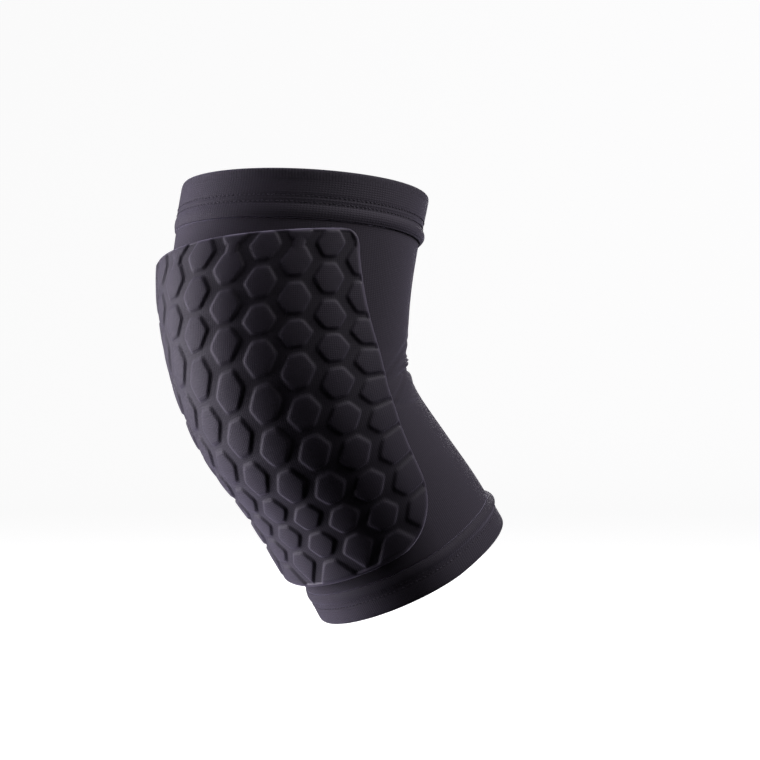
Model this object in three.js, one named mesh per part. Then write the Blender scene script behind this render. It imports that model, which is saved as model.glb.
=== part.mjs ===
// Knee sleeve with a honeycomb pad over the front of the knee, in the form it has when worn bent.
// Millimetres and degrees. The origin is the middle of the knee, inside the sleeve. +Z runs up,
// -Y points forward over the kneecap and +X points to the outer side of the leg.

import * as THREE from 'three';

// Course of the sleeve: two straight runs joined by an arc at the knee
const thigh_length = 112;
const shin_length = 125;
const thigh_lean = 3;
const shin_lean = 35;
const bend_radius = 84;

// Outside of the knit at the top opening, at the knee and at the bottom opening
const thigh_width = 129;
const thigh_depth = 139;
const knee_width = 117;
const knee_depth = 118;
const shin_width = 110;
const shin_depth = 118;

// Slope of the two open rims: how much higher they lie in front and at the outer side
const top_rim_front = 4;
const top_rim_side = 5;
const bottom_rim_front = 6.5;
const bottom_rim_side = 8;

// Knit walls and the turned cuffs
const sleeve_wall = 1.6;
const cuff_wall = 2.6;
const cuff_proud = 0.6;
const top_cuff_height = 26;
const bottom_cuff_height = 19.5;
const top_roll_height = 7;
const top_roll_proud = 1.5;
const bottom_roll_height = 6;
const bottom_roll_proud = 1.3;
const roll_front_share = 0.25;
const cuff_rim_round = 1;
const piece_gap = 0.3;

// Folds of the knit behind the knee
const fold_depth = 2.4;
const fold_height = 4.5;

// Pad, as moulded flat: cells in columns that run down the leg
const pad_thickness = 8;
const pad_web = 4.8;
const pad_crown = 0.4;
const pad_clearance = 0.5;
const pad_top_margin = 14.5;
const pad_bottom_margin = 9;
const pad_side_rise = 9;
const pad_twist = 17;
const pad_top_half_width = 102;
const pad_bottom_half_width = 113;
const pad_side_bow = 4.5;
const pad_top_corner = 12;
const pad_bottom_corner = 34;
const pad_edge_slope = 2.2;
const pad_edge_foot = 0.55;
const column_pitch = 20;
const rows_in_pad = 9.9;
const row_groove_width = 1.6;
const side_groove_width = 5.2;
const cell_slope = 1.4;

// Places on the pad, as shares of its length or of a row, and the turn of the line down the leg
// along which the rows lie evenly
const bow_start_share = 0.45;
const bow_end_share = 0.62;
const even_column_share = 0.45;
const odd_column_share = 0.95;
const pad_line_turn = 60;

// Facets. A cut cell keeps its raised face when that is larger than the smallest face, as a share
// of a whole cell.
const smallest_face_share = 0.06;
const facets_around = 48;
const sleeve_rows = 20;
const length_steps = 120;
const corner_steps = 5;
const join_distance = 0.05;

// Sections of the sleeve. along is a share of the thigh length above the knee and of the shin
// length below it. width and depth are shares of the size there, front is the share of the depth
// that lies ahead of the centre line.
const sections = [
  { along: -1.0, width: 1.0, depth: 1.0, front: 0.4 },
  { along: -0.76, width: 0.985, depth: 0.975, front: 0.4 },
  { along: -0.48, width: 0.98, depth: 0.93, front: 0.42 },
  { along: -0.24, width: 0.985, depth: 0.92, front: 0.455 },
  { along: 0.0, width: 1.0, depth: 1.0, front: 0.51 },
  { along: 0.27, width: 1.0, depth: 1.055, front: 0.57 },
  { along: 0.54, width: 1.0, depth: 1.055, front: 0.585 },
  { along: 0.8, width: 1.0, depth: 1.025, front: 0.555 },
  { along: 1.0, width: 1.0, depth: 1.0, front: 0.52 },
];

// Folds behind the knee. along as in the sections, depth and height are shares of the fold's
// size, at and spread are degrees round the leg from the front.
const folds = [
  { along: 0.06, depth: 1.0, height: 1.0, at: 170, spread: 55 },
  { along: 0.22, depth: 0.45, height: 0.8, at: 160, spread: 38 },
  { along: -0.1, depth: 0.5, height: 0.9, at: 190, spread: 42 },
];

// How the pad lies on the leg, by share of its length from the bottom. across is its stretch round
// the leg, middle is how far its middle is turned to the outer side as a share of the twist, and
// rise is how much higher it lies at the outer side as a share of the side rise.
const pad_lay = [
  { along: 0.0, across: 1.0, middle: -0.95, rise: 0.6 },
  { along: 0.25, across: 1.02, middle: -0.72, rise: 0.8 },
  { along: 0.45, across: 1.02, middle: -0.22, rise: 1.0 },
  { along: 0.65, across: 0.98, middle: 0.38, rise: 1.25 },
  { along: 0.85, across: 0.92, middle: 0.82, rise: 1.6 },
  { along: 1.0, across: 0.87, middle: 1.1, rise: 1.5 },
];

// Rolled seam of a cuff, from its free side to the knit, as shares of its height and depth
const roll_profile = [
  { from_seam: 1.0, proud: 0.0 },
  { from_seam: 0.7, proud: 0.8 },
  { from_seam: 0.3, proud: 1.0 },
  { from_seam: 0.0, proud: 0.3 },
];

const knit_black = new THREE.MeshStandardMaterial({ color: 0x2b272e, roughness: 0.88, metalness: 0 });
const cuff_black = new THREE.MeshStandardMaterial({ color: 0x232026, roughness: 0.82, metalness: 0 });
const pad_black = new THREE.MeshStandardMaterial({ color: 0x2f2b33, roughness: 0.74, metalness: 0 });

const radians = THREE.MathUtils.degToRad;

function column(table, key, value) {
  return new THREE.CubicInterpolant(table.map((row) => row[key]), table.map((row) => row[value]), 1);
}

const section_width = column(sections, 'along', 'width');
const section_depth = column(sections, 'along', 'depth');
const section_front = column(sections, 'along', 'front');
const pad_across = column(pad_lay, 'along', 'across');
const pad_middle = column(pad_lay, 'along', 'middle');
const pad_rise = column(pad_lay, 'along', 'rise');

// Share of the thigh or shin length for a distance along the centre line
function shareAlong(t) {
  return t > 0 ? t / thigh_length : t / shin_length;
}

// Centre line of the leg at a distance t from the knee, with its lean there
function centreLine(t) {
  const middle_lean = radians((thigh_lean - shin_lean) / 2);
  const half_bend = (bend_radius * radians(thigh_lean + shin_lean)) / 2;
  const bent = THREE.MathUtils.clamp(t, -half_bend, half_bend);
  const straight = t - bent;
  const lean = middle_lean + bent / bend_radius;
  const y = bend_radius * (Math.cos(middle_lean) - Math.cos(lean)) + straight * Math.sin(lean);
  const z = bend_radius * (Math.sin(lean) - Math.sin(middle_lean)) + straight * Math.cos(lean);
  return { y, z, lean };
}

// Half width, front reach and back reach of the sleeve's outside
function sectionAt(t) {
  const share = shareAlong(t);
  const inside = THREE.MathUtils.clamp(share, -1, 1);
  const thigh = { width: thigh_width, depth: thigh_depth };
  const shin = { width: shin_width, depth: shin_depth };
  const end = share > 0 ? thigh : shin;
  const even_width = THREE.MathUtils.lerp(knee_width, end.width, Math.abs(share));
  const even_depth = THREE.MathUtils.lerp(knee_depth, end.depth, Math.abs(share));
  const width = even_width * section_width.evaluate(inside)[0];
  const depth = even_depth * section_depth.evaluate(inside)[0];
  const front = depth * section_front.evaluate(inside)[0];
  return { half_width: width / 2, front, back: depth - front };
}

function foldDepth(theta, t) {
  let sum = 0;
  for (const fold of folds) {
    const at = fold.along * (fold.along > 0 ? thigh_length : shin_length);
    const along = (t - at) / (fold.height * fold_height);
    const past = THREE.MathUtils.radToDeg(theta) - fold.at;
    const turn = THREE.MathUtils.euclideanModulo(past + 180, 360) - 180;
    sum += fold.depth * Math.exp(-along * along - (turn / fold.spread) ** 2);
  }
  return fold_depth * sum;
}

// Point of the sleeve's outside. theta is 0 in front and grows towards the outer side.
function formPoint(theta, t) {
  const line = centreLine(t);
  const section = sectionAt(t);
  const x = section.half_width * Math.sin(theta);
  const reach = Math.cos(theta) > 0 ? section.front : section.back;
  const forward = reach * Math.cos(theta);
  return new THREE.Vector3(x, line.y - forward * Math.cos(line.lean), line.z + forward * Math.sin(line.lean));
}

function outwardAt(theta, t) {
  const turn_step = 0.01;
  const length_step = 0.5;
  const round = formPoint(theta + turn_step, t).sub(formPoint(theta - turn_step, t));
  const up = formPoint(theta, t + length_step).sub(formPoint(theta, t - length_step));
  return round.cross(up).normalize();
}

// Point at a height above the sleeve's smooth outside
function raisedPoint(theta, t, height) {
  return formPoint(theta, t).addScaledVector(outwardAt(theta, t), height);
}

// Point at a height above the folded knit, below it when negative
function skinPoint(theta, t, height) {
  return raisedPoint(theta, t, height - foldDepth(theta, t));
}

function topRim(theta) {
  return thigh_length + top_rim_front * Math.cos(theta) + top_rim_side * Math.sin(theta);
}

function bottomRim(theta) {
  return -shin_length + bottom_rim_front * Math.cos(theta) + bottom_rim_side * Math.sin(theta);
}

// Triangle mesh that shares its corners by name
class Facets {
  constructor() {
    this.names = new Map();
    this.positions = [];
    this.triangles = [];
  }

  corner(name, makePoint) {
    if (!this.names.has(name)) {
      this.names.set(name, this.names.size);
      this.positions.push(...makePoint().toArray());
    }
    return this.names.get(name);
  }

  triangle(a, b, c) {
    if (a !== b && b !== c && c !== a) this.triangles.push(a, b, c);
  }

  quad(a, b, c, d) {
    this.triangle(a, b, c);
    this.triangle(a, c, d);
  }

  mesh(name, material) {
    const geometry = new THREE.BufferGeometry();
    geometry.setAttribute('position', new THREE.Float32BufferAttribute(this.positions, 3));
    geometry.setIndex(this.triangles);
    geometry.computeVertexNormals();
    const mesh = new THREE.Mesh(geometry, material);
    mesh.name = name;
    return mesh;
  }
}

// Ring-shaped band whose cross section is a closed loop of { t, height } points for each theta
function band(name, loopAt, material) {
  const facets = new Facets();
  const loops = [];
  for (let step = 0; step < facets_around; step += 1) {
    const theta = (2 * Math.PI * step) / facets_around;
    const loop = loopAt(theta).map((place, index) => (
      facets.corner(`${step}_${index}`, () => skinPoint(theta, place.t, place.height))
    ));
    loops.push(loop);
  }
  loops.forEach((loop, step) => {
    const next = loops[(step + 1) % facets_around];
    loop.forEach((corner, index) => {
      const after = (index + 1) % loop.length;
      facets.quad(corner, next[index], next[after], loop[after]);
    });
  });
  return facets.mesh(name, material);
}

function makeSleeve() {
  return band('sleeve', (theta) => {
    const low = bottomRim(theta) + bottom_cuff_height + piece_gap;
    const high = topRim(theta) - top_cuff_height - piece_gap;
    const outside = [];
    for (let row = 0; row <= sleeve_rows; row += 1) {
      outside.push({ t: THREE.MathUtils.lerp(low, high, row / sleeve_rows), height: 0 });
    }
    const inside = outside.map((place) => ({ t: place.t, height: -sleeve_wall })).reverse();
    return [...outside, ...inside];
  }, knit_black);
}

// How much of the rolled seam shows: all of it behind the knee, a trace in front
function rollShare(theta) {
  const behind = (1 - Math.cos(theta)) / 2;
  return roll_front_share + (1 - roll_front_share) * behind ** 2;
}

// Cuff profile from the free rim to the rolled seam, with direction 1 where the seam lies above
function cuffLoop(rim, direction, cuff_height, roll_height, roll_proud) {
  const outside = cuff_proud;
  const inside = cuff_proud - cuff_wall;
  const profile = [
    { from_rim: 0, height: outside - cuff_rim_round },
    { from_rim: cuff_rim_round, height: outside },
    { from_rim: cuff_height / 2, height: outside },
    ...roll_profile.map((place) => ({
      from_rim: cuff_height - roll_height * place.from_seam,
      height: outside + roll_proud * place.proud,
    })),
    { from_rim: cuff_height, height: inside },
    { from_rim: cuff_height / 2, height: inside },
    { from_rim: 0, height: inside },
  ];
  const loop = profile.map((place) => ({ t: rim + direction * place.from_rim, height: place.height }));
  return direction > 0 ? loop : loop.reverse();
}

function makeTopCuff() {
  return band('top_cuff', (theta) => {
    const roll_proud = top_roll_proud * rollShare(theta);
    return cuffLoop(topRim(theta), -1, top_cuff_height, top_roll_height, roll_proud);
  }, cuff_black);
}

function makeBottomCuff() {
  return band('bottom_cuff', (theta) => {
    const roll_proud = bottom_roll_proud * rollShare(theta);
    return cuffLoop(bottomRim(theta), 1, bottom_cuff_height, bottom_roll_height, roll_proud);
  }, cuff_black);
}

// Pad's place on the leg: its ends at the front, and its rows spread evenly over the surface
const pad_top = thigh_length + top_rim_front - top_cuff_height - pad_top_margin;
const pad_bottom = -shin_length + bottom_rim_front + bottom_cuff_height + pad_bottom_margin;
const pad_line = radians(pad_line_turn);

function measurePadLength() {
  const lengths = [0];
  let before = formPoint(pad_line, pad_bottom);
  for (let step = 1; step <= length_steps; step += 1) {
    const t = THREE.MathUtils.lerp(pad_bottom, pad_top, step / length_steps);
    const after = formPoint(pad_line, t);
    lengths.push(lengths[step - 1] + after.distanceTo(before));
    before = after;
  }
  return lengths;
}

const pad_lengths = measurePadLength();
const pad_length = pad_lengths[length_steps];
const row_pitch = pad_length / rows_in_pad;

// Distance along the centre line for a distance up the pad
function padHeightToLeg(y) {
  let step = pad_lengths.findIndex((length) => length >= y);
  if (step < 1) step = y > 0 ? length_steps : 1;
  const part = (y - pad_lengths[step - 1]) / (pad_lengths[step] - pad_lengths[step - 1]);
  return THREE.MathUtils.lerp(pad_bottom, pad_top, (step - 1 + part) / length_steps);
}

// Angle round the leg for a distance measured over the pad's face from the front
function angleAtArc(arc, t) {
  const section = sectionAt(t);
  const turn_step = 0.02;
  const height = pad_thickness + pad_clearance;
  let theta = 0;
  let left = Math.abs(arc);
  while (left > 0) {
    const middle = theta + turn_step / 2;
    const side = section.half_width + height;
    const reach = (Math.cos(middle) > 0 ? section.front : section.back) + height;
    const step_length = turn_step * Math.hypot(side * Math.cos(middle), reach * Math.sin(middle));
    theta += turn_step * Math.min(1, left / step_length);
    left -= step_length;
  }
  return theta * Math.sign(arc);
}

// Point above the knit for a place on the flat pad: x across from its middle, y up from its foot
function padPoint(x, y, height) {
  const share = y / pad_length;
  const arc = pad_twist * pad_middle.evaluate(share)[0] + x * pad_across.evaluate(share)[0];
  const front_t = padHeightToLeg(y);
  const theta = angleAtArc(arc, front_t);
  const rise = pad_side_rise * pad_rise.evaluate(share)[0] * Math.sin(theta);
  return raisedPoint(theta, front_t + rise, height + pad_clearance);
}

// Tightest convex outline round some points, anticlockwise
function convexOutline(points) {
  const sorted = [...points].sort((a, b) => a.x - b.x || a.y - b.y);
  const turnsLeft = (a, b, c) => b.clone().sub(a).cross(c.clone().sub(b)) > 0;
  const chainOf = (list) => {
    const chain = [];
    for (const point of list) {
      while (chain.length > 1 && !turnsLeft(...chain.slice(-2), point)) chain.pop();
      chain.push(point);
    }
    return chain.slice(0, -1);
  };
  return [...chainOf(sorted), ...chainOf([...sorted].reverse())];
}

// Half width of the flat pad in its bowed stretch, at a share of its length
function bowedHalfWidth(share) {
  return THREE.MathUtils.lerp(pad_bottom_half_width, pad_top_half_width, share) + pad_side_bow;
}

// Outline of the flat pad, with rounded corners and bowed sides
function padOutline() {
  const right = [];
  const addCorner = (half_width, y, radius, from) => {
    for (let step = 0; step <= corner_steps; step += 1) {
      const angle = from + (Math.PI / 2) * (step / corner_steps);
      right.push(new THREE.Vector2(
        half_width - radius + radius * Math.cos(angle),
        y + radius * Math.sin(angle),
      ));
    }
  };
  addCorner(pad_bottom_half_width, pad_bottom_corner, pad_bottom_corner, -Math.PI / 2);
  for (const share of [bow_start_share, bow_end_share]) {
    right.push(new THREE.Vector2(bowedHalfWidth(share), pad_length * share));
  }
  addCorner(pad_top_half_width, pad_length - pad_top_corner, pad_top_corner, 0);
  const left = right.map((point) => new THREE.Vector2(-point.x, point.y));
  return convexOutline([...right, ...left]);
}

// Part of a convex outline that lies to the left of the line from a to b, moved in by a distance
function cutByLine(points, a, b, inward) {
  const normal = new THREE.Vector2(a.y - b.y, b.x - a.x).normalize();
  const depth = (point) => point.clone().sub(a).dot(normal) - inward;
  const kept = [];
  points.forEach((point, index) => {
    const next = points[(index + 1) % points.length];
    const here = depth(point);
    const there = depth(next);
    if (here >= 0) kept.push(point);
    if (here * there < 0) {
      const first = point.x + point.y < next.x + next.y;
      const low = first ? point : next;
      const high = first ? next : point;
      const share = depth(low) / (depth(low) - depth(high));
      kept.push(low.clone().lerp(high, share));
    }
  });
  return kept;
}

function edgesOf(points) {
  return points.map((point, index) => [point, points[(index + 1) % points.length]]);
}

function halfWay(a, b) {
  return a.clone().lerp(b, 0.5);
}

function middleOf(points) {
  const sum = new THREE.Vector2();
  for (const point of points) sum.add(point);
  return sum.divideScalar(points.length);
}

function areaOf(points) {
  return points.length < 3 ? 0 : THREE.ShapeUtils.area(points);
}

const outline = padOutline();

// Corners of the honeycomb's cell at a column and row, before the outline cuts it
function cellCorners(column_number, row_number) {
  const x = column_number * column_pitch;
  const shift = column_number % 2 === 0 ? even_column_share : odd_column_share;
  const y = pad_length - (row_number + shift) * row_pitch;
  const wide = column_pitch / 1.5;
  const narrow = column_pitch / 3;
  const half = row_pitch / 2;
  return [[wide, 0], [narrow, half], [-narrow, half], [-wide, 0], [-narrow, -half], [narrow, -half]]
    .map(([dx, dy]) => new THREE.Vector2(x + dx, y + dy));
}

function onOutline(point) {
  return edgesOf(outline).some(([a, b]) => {
    const along = b.clone().sub(a);
    const off = Math.abs(along.clone().normalize().cross(point.clone().sub(a)));
    const share = point.clone().sub(a).dot(along) / along.lengthSq();
    return off < join_distance && share > 0 && share < 1;
  });
}

// Ring inside a cell, past the grooves to its sides by one distance and in from the pad's edge by another
function innerRing(cell, past_groove, from_edge) {
  let ring = cell;
  for (const [a, b] of edgesOf(cell)) {
    const along_row = Math.abs(a.y - b.y) < join_distance;
    const groove_width = along_row ? row_groove_width : side_groove_width;
    const inward = onOutline(halfWay(a, b)) ? from_edge : groove_width / 2 + past_groove;
    ring = cutByLine(ring, a, b, inward);
  }
  return ring;
}

// Corners of the flat pad, so that neighbouring cells share the ones that fall together
const flat_corners = [];

function settle(point) {
  const known = flat_corners.find((corner) => corner.distanceTo(point) < join_distance);
  if (known) return known;
  flat_corners.push(point);
  return point;
}

function makePad() {
  const facets = new Facets();
  const underside = 0;
  const cornerAt = (point, height) => (
    facets.corner(`${point.x}_${point.y}_${height}`, () => padPoint(point.x, point.y, height))
  );

  // Corners of a ring by their turn round a middle, with the first one again at the end
  const inTurn = (ring, height, middle) => {
    const places = ring.map((point) => ({
      corner: cornerAt(point, height),
      turn: Math.atan2(point.y - middle.y, point.x - middle.x),
    }));
    places.sort((a, b) => a.turn - b.turn);
    places.push({ corner: places[0].corner, turn: places[0].turn + 2 * Math.PI });
    return places;
  };

  // Strip of triangles between two rings that both go round the same middle
  const joinRings = (outer, outer_height, inner, inner_height, middle) => {
    const far = inTurn(outer, outer_height, middle);
    const near = inTurn(inner, inner_height, middle);
    let i = 0;
    let j = 0;
    while (i < far.length - 1 || j < near.length - 1) {
      const far_next = far[i + 1];
      const near_next = near[j + 1];
      if (!near_next || (far_next && far_next.turn <= near_next.turn)) {
        facets.triangle(far[i].corner, far_next.corner, near[j].corner);
        i += 1;
      } else {
        facets.triangle(far[i].corner, near_next.corner, near[j].corner);
        j += 1;
      }
    }
  };

  const fillRing = (ring, height, middle, middle_height, facing) => {
    const centre = cornerAt(middle, middle_height);
    for (const [a, b] of edgesOf(ring)) {
      const first = cornerAt(a, height);
      const second = cornerAt(b, height);
      if (facing > 0) facets.triangle(first, second, centre);
      else facets.triangle(second, first, centre);
    }
  };

  const widest = Math.max(pad_bottom_half_width, pad_top_half_width) + pad_side_bow;
  const columns = Math.ceil(widest / column_pitch) + 1;
  const rows = Math.ceil(pad_length / row_pitch) + 1;
  for (let column_number = -columns; column_number <= columns; column_number += 1) {
    for (let row_number = -1; row_number <= rows; row_number += 1) {
      let cell = cellCorners(column_number, row_number);
      for (const [a, b] of edgesOf(outline)) cell = cutByLine(cell, a, b, 0);
      cell = cell.map(settle).filter((point, index, all) => point !== all[(index + 1) % all.length]);
      if (cell.length < 3) continue;
      const corners = cell;
      cell = edgesOf(corners).flatMap(([a, b]) => [a, settle(halfWay(a, b))]);

      const middle = middleOf(cell);
      const foot = innerRing(corners, 0, pad_edge_foot);
      const face = innerRing(corners, cell_slope, pad_edge_slope);
      if (areaOf(face) > smallest_face_share * row_pitch * column_pitch) {
        const centre = middleOf(face);
        joinRings(cell, pad_web, foot, pad_web, centre);
        joinRings(foot, pad_web, face, pad_thickness, centre);
        fillRing(face, pad_thickness, centre, pad_thickness + pad_crown, 1);
      } else {
        fillRing(cell, pad_web, middle, pad_web, 1);
      }
      fillRing(cell, underside, middle, underside, -1);
      for (const [a, b] of edgesOf(cell)) {
        if (!onOutline(halfWay(a, b))) continue;
        const foot_a = cornerAt(a, underside);
        const foot_b = cornerAt(b, underside);
        facets.quad(foot_a, foot_b, cornerAt(b, pad_web), cornerAt(a, pad_web));
      }
    }
  }
  return facets.mesh('hex_pad', pad_black);
}

const knee_pad = new THREE.Group();
knee_pad.add(makeSleeve(), makeTopCuff(), makeBottomCuff(), makePad());

export default knee_pad;
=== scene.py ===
"""Knee sleeve with a honeycomb pad over the front of the knee, in the form it has when worn bent.

Metres. The origin is the middle of the knee, inside the sleeve. +Z runs up, -Y points forward over
the kneecap and +X points to the outer side of the leg.
"""

import itertools
import math

import bpy
import numpy as np
from mathutils.kdtree import KDTree
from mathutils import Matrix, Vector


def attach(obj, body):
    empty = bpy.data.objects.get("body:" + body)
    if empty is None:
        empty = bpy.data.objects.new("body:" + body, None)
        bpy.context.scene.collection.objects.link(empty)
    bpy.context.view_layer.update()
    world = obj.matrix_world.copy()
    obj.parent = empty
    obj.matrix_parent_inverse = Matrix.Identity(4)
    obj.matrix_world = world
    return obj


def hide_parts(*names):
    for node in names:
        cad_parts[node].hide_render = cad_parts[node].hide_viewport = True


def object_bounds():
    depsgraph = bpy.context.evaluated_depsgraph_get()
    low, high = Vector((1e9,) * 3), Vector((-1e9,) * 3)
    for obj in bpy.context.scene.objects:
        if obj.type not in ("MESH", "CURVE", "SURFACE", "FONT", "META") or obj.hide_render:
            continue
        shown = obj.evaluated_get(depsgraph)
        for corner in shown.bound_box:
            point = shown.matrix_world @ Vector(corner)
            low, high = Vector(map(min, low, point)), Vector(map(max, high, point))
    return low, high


bl_info = {
    "name": "Honeycomb Knee Pad",
    "version": (1, 0, 0),
    "blender": (4, 5, 0),
    "location": "View3D > Sidebar > Knee Pad",
    "description": "Builds a worn knee sleeve with a honeycomb pad, its cuffs and its stitching",
    "category": "Add Mesh",
}

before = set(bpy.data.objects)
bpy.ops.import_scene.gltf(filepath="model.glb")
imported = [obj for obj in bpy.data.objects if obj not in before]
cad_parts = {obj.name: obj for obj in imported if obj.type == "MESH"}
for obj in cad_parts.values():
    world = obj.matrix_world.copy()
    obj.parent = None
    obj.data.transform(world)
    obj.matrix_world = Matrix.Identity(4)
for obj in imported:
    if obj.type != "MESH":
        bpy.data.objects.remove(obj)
CAD_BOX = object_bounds()
LOWEST_POINT = CAD_BOX[0][2]
MM = 0.001

# Sections of the sleeve. along is a share of the thigh length above the knee and of the shin
# length below it. width and depth are shares of the size there, front is the share of the depth
# that lies ahead of the centre line.
SECTIONS = {
    "along": (-1.0, -0.76, -0.48, -0.24, 0.0, 0.27, 0.54, 0.8, 1.0),
    "width": (1.0, 0.985, 0.98, 0.985, 1.0, 1.0, 1.0, 1.0, 1.0),
    "depth": (1.0, 0.975, 0.93, 0.92, 1.0, 1.055, 1.055, 1.025, 1.0),
    "front": (0.4, 0.4, 0.42, 0.455, 0.51, 0.57, 0.585, 0.555, 0.52),
}

# Share of the thigh or shin length over which the taper changes at the knee
KNEE_BLEND = 0.06

# How the pad lies on the leg, by share of its length from the bottom: its stretch round the leg,
# the turn of its middle to the outer side and how much higher it lies there, as shares.
PAD_LAY = {
    "along": (0.0, 0.25, 0.45, 0.65, 0.85, 1.0),
    "across": (1.0, 1.02, 1.02, 0.98, 0.92, 0.87),
    "middle": (-0.95, -0.72, -0.22, 0.38, 0.82, 1.1),
    "rise": (0.6, 0.8, 1.0, 1.25, 1.6, 1.5),
}

# Shares of the pad's length between which its sides bow out
BOW_SHARES = (0.45, 0.62)

# Depth of the topmost cell's centre below the pad's top edge, as a share of a row
EVEN_COLUMN = 0.45
ODD_COLUMN = 0.95

# Folds behind the knee: share of the thigh or shin length, depth and height as shares of the
# fold's size, middle and spread in degrees round the leg from the front.
FOLDS = (
    {"along": 0.06, "depth": 1.0, "height": 1.0, "at": 170, "spread": 55},
    {"along": 0.22, "depth": 0.45, "height": 0.8, "at": 160, "spread": 38},
    {"along": -0.1, "depth": 0.5, "height": 0.9, "at": 190, "spread": 42},
)

# Fine creases of the knit: middle in degrees round the leg and share along it, half length in
# degrees, slope in share along for each 90 degrees, depth and height as shares of the crease.
CREASES = (
    {"at": 150, "along": 0.1, "half": 34, "slope": 0.1, "depth": 1.5, "height": 0.8},
    {"at": 148, "along": 0.145, "half": 30, "slope": 0.06, "depth": 1.6, "height": 0.7},
    {"at": 150, "along": 0.19, "half": 28, "slope": 0.12, "depth": 1.4, "height": 0.8},
    {"at": 160, "along": 0.27, "half": 30, "slope": -0.1, "depth": 0.5, "height": 1.1},
    {"at": 118, "along": 0.02, "half": 22, "slope": 0.5, "depth": 0.55, "height": 1.5},
    {"at": 116, "along": 0.2, "half": 20, "slope": 0.62, "depth": 0.45, "height": 1.6},
    {"at": 122, "along": -0.16, "half": 22, "slope": -0.45, "depth": 0.5, "height": 1.5},
    {"at": 210, "along": 0.12, "half": 34, "slope": -0.1, "depth": 0.8, "height": 0.8},
    {"at": 214, "along": 0.17, "half": 30, "slope": -0.08, "depth": 0.8, "height": 0.8},
    {"at": 240, "along": 0.05, "half": 22, "slope": -0.5, "depth": 0.5, "height": 1.5},
    {"at": 238, "along": -0.14, "half": 24, "slope": 0.4, "depth": 0.5, "height": 1.5},
)


# Height of the low ridges beside a crease, as a factor
CREASE_RIDGE = 1.2

# Rows of cover stitches, as shares of a cuff's height from its rim
STITCH_ROWS = (0.55, 0.68)

# Flat sizes of the cloth in metres. A cuff's other flat size is its height.
SLEEVE_GIRTH = 0.37
SLEEVE_LENGTH = 0.2
CUFF_GIRTH = 0.4

# Studio lights: metres from the knee to the right, towards the camera and up, watts and colour
COOL = (0.94, 0.9, 1.0)
WHITE = (1.0, 0.98, 1.0)
LIGHTS = (
    {"name": "key", "right": -1.1, "near": -0.04, "up": 0.2, "power": 33, "colour": COOL},
    {"name": "low_key", "right": -1.1, "near": -0.3, "up": -0.35, "power": 30, "colour": COOL},
    {"name": "fill", "right": 0.72, "near": 0.2, "up": 0.66, "power": 23, "colour": WHITE},
    {"name": "back", "right": 0.1, "near": -1.2, "up": 0.4, "power": 12, "colour": WHITE},
)
LIGHT_SIZE = 0.9
WORLD_STRENGTH = 0.025


def length(name, default, description):
    """Float property in metres from a default in millimetres."""
    return bpy.props.FloatProperty(
        name=name, default=default * MM, description=description, unit="LENGTH", precision=5
    )


def angle(name, default, description):
    """Float property in radians from a default in degrees."""
    return bpy.props.FloatProperty(
        name=name, default=math.radians(default), description=description, subtype="ANGLE"
    )


def cloth_colour(name, default, description):
    """Colour property from linear red, green and blue."""
    return bpy.props.FloatVectorProperty(
        name=name, default=(*default, 1), description=description, subtype="COLOR", size=4
    )


class KneePadForm(bpy.types.PropertyGroup):
    """Sizes of the leg-shaped sleeve."""

    thigh_length: length("Thigh Length", 112, "Knee to the top rim")
    shin_length: length("Shin Length", 125, "Knee to the bottom rim")
    thigh_lean: angle("Thigh Lean", 3, "Backward lean above the knee")
    shin_lean: angle("Shin Lean", 35, "Backward lean below the knee")
    bend_radius: length("Bend Radius", 84, "Radius of the centre line at the knee")
    bend_ease: length("Bend Ease", 18, "Length over which the bend starts and ends")
    thigh_width: length("Thigh Width", 129, "Width at the top rim")
    thigh_depth: length("Thigh Depth", 139, "Depth at the top rim")
    knee_width: length("Knee Width", 117, "Width at the knee")
    knee_depth: length("Knee Depth", 118, "Depth at the knee")
    shin_width: length("Shin Width", 110, "Width at the bottom rim")
    shin_depth: length("Shin Depth", 118, "Depth at the bottom rim")
    top_rim_front: length("Top Rim Front", 4, "Rise of the top rim in front")
    top_rim_side: length("Top Rim Side", 5, "Rise of the top rim at the outer side")
    bottom_rim_front: length("Bottom Rim Front", 6.5, "Rise of the bottom rim in front")
    bottom_rim_side: length("Bottom Rim Side", 8, "Rise of the bottom rim at the outer side")


class KneePadKnit(bpy.types.PropertyGroup):
    """Sizes of the knit, its folds and the cuffs."""

    sleeve_wall: length("Sleeve Wall", 1.6, "Thickness of the knit")
    cuff_wall: length("Cuff Wall", 2.6, "Thickness of the turned cuffs")
    cuff_proud: length("Cuff Proud", 0.8, "How far the cuffs stand out of the knit")
    top_cuff_height: length("Top Cuff Height", 26, "Height of the top cuff")
    bottom_cuff_height: length("Bottom Cuff Height", 19.5, "Height of the bottom cuff")
    roll_height: length("Roll Height", 7, "Height of the rolled seam")
    roll_proud: length("Roll Proud", 2.1, "How far the rolled seam stands out")
    piece_gap: length("Piece Gap", 0.3, "Gap between sleeve and cuffs")
    fold_depth: length("Fold Depth", 2.4, "Depth of a fold behind the knee")
    fold_height: length("Fold Height", 4.5, "Half height of a fold behind the knee")
    crease_depth: length("Crease Depth", 0.9, "Depth of a fine crease")
    crease_height: length("Crease Height", 2.0, "Half height of a fine crease")


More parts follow.
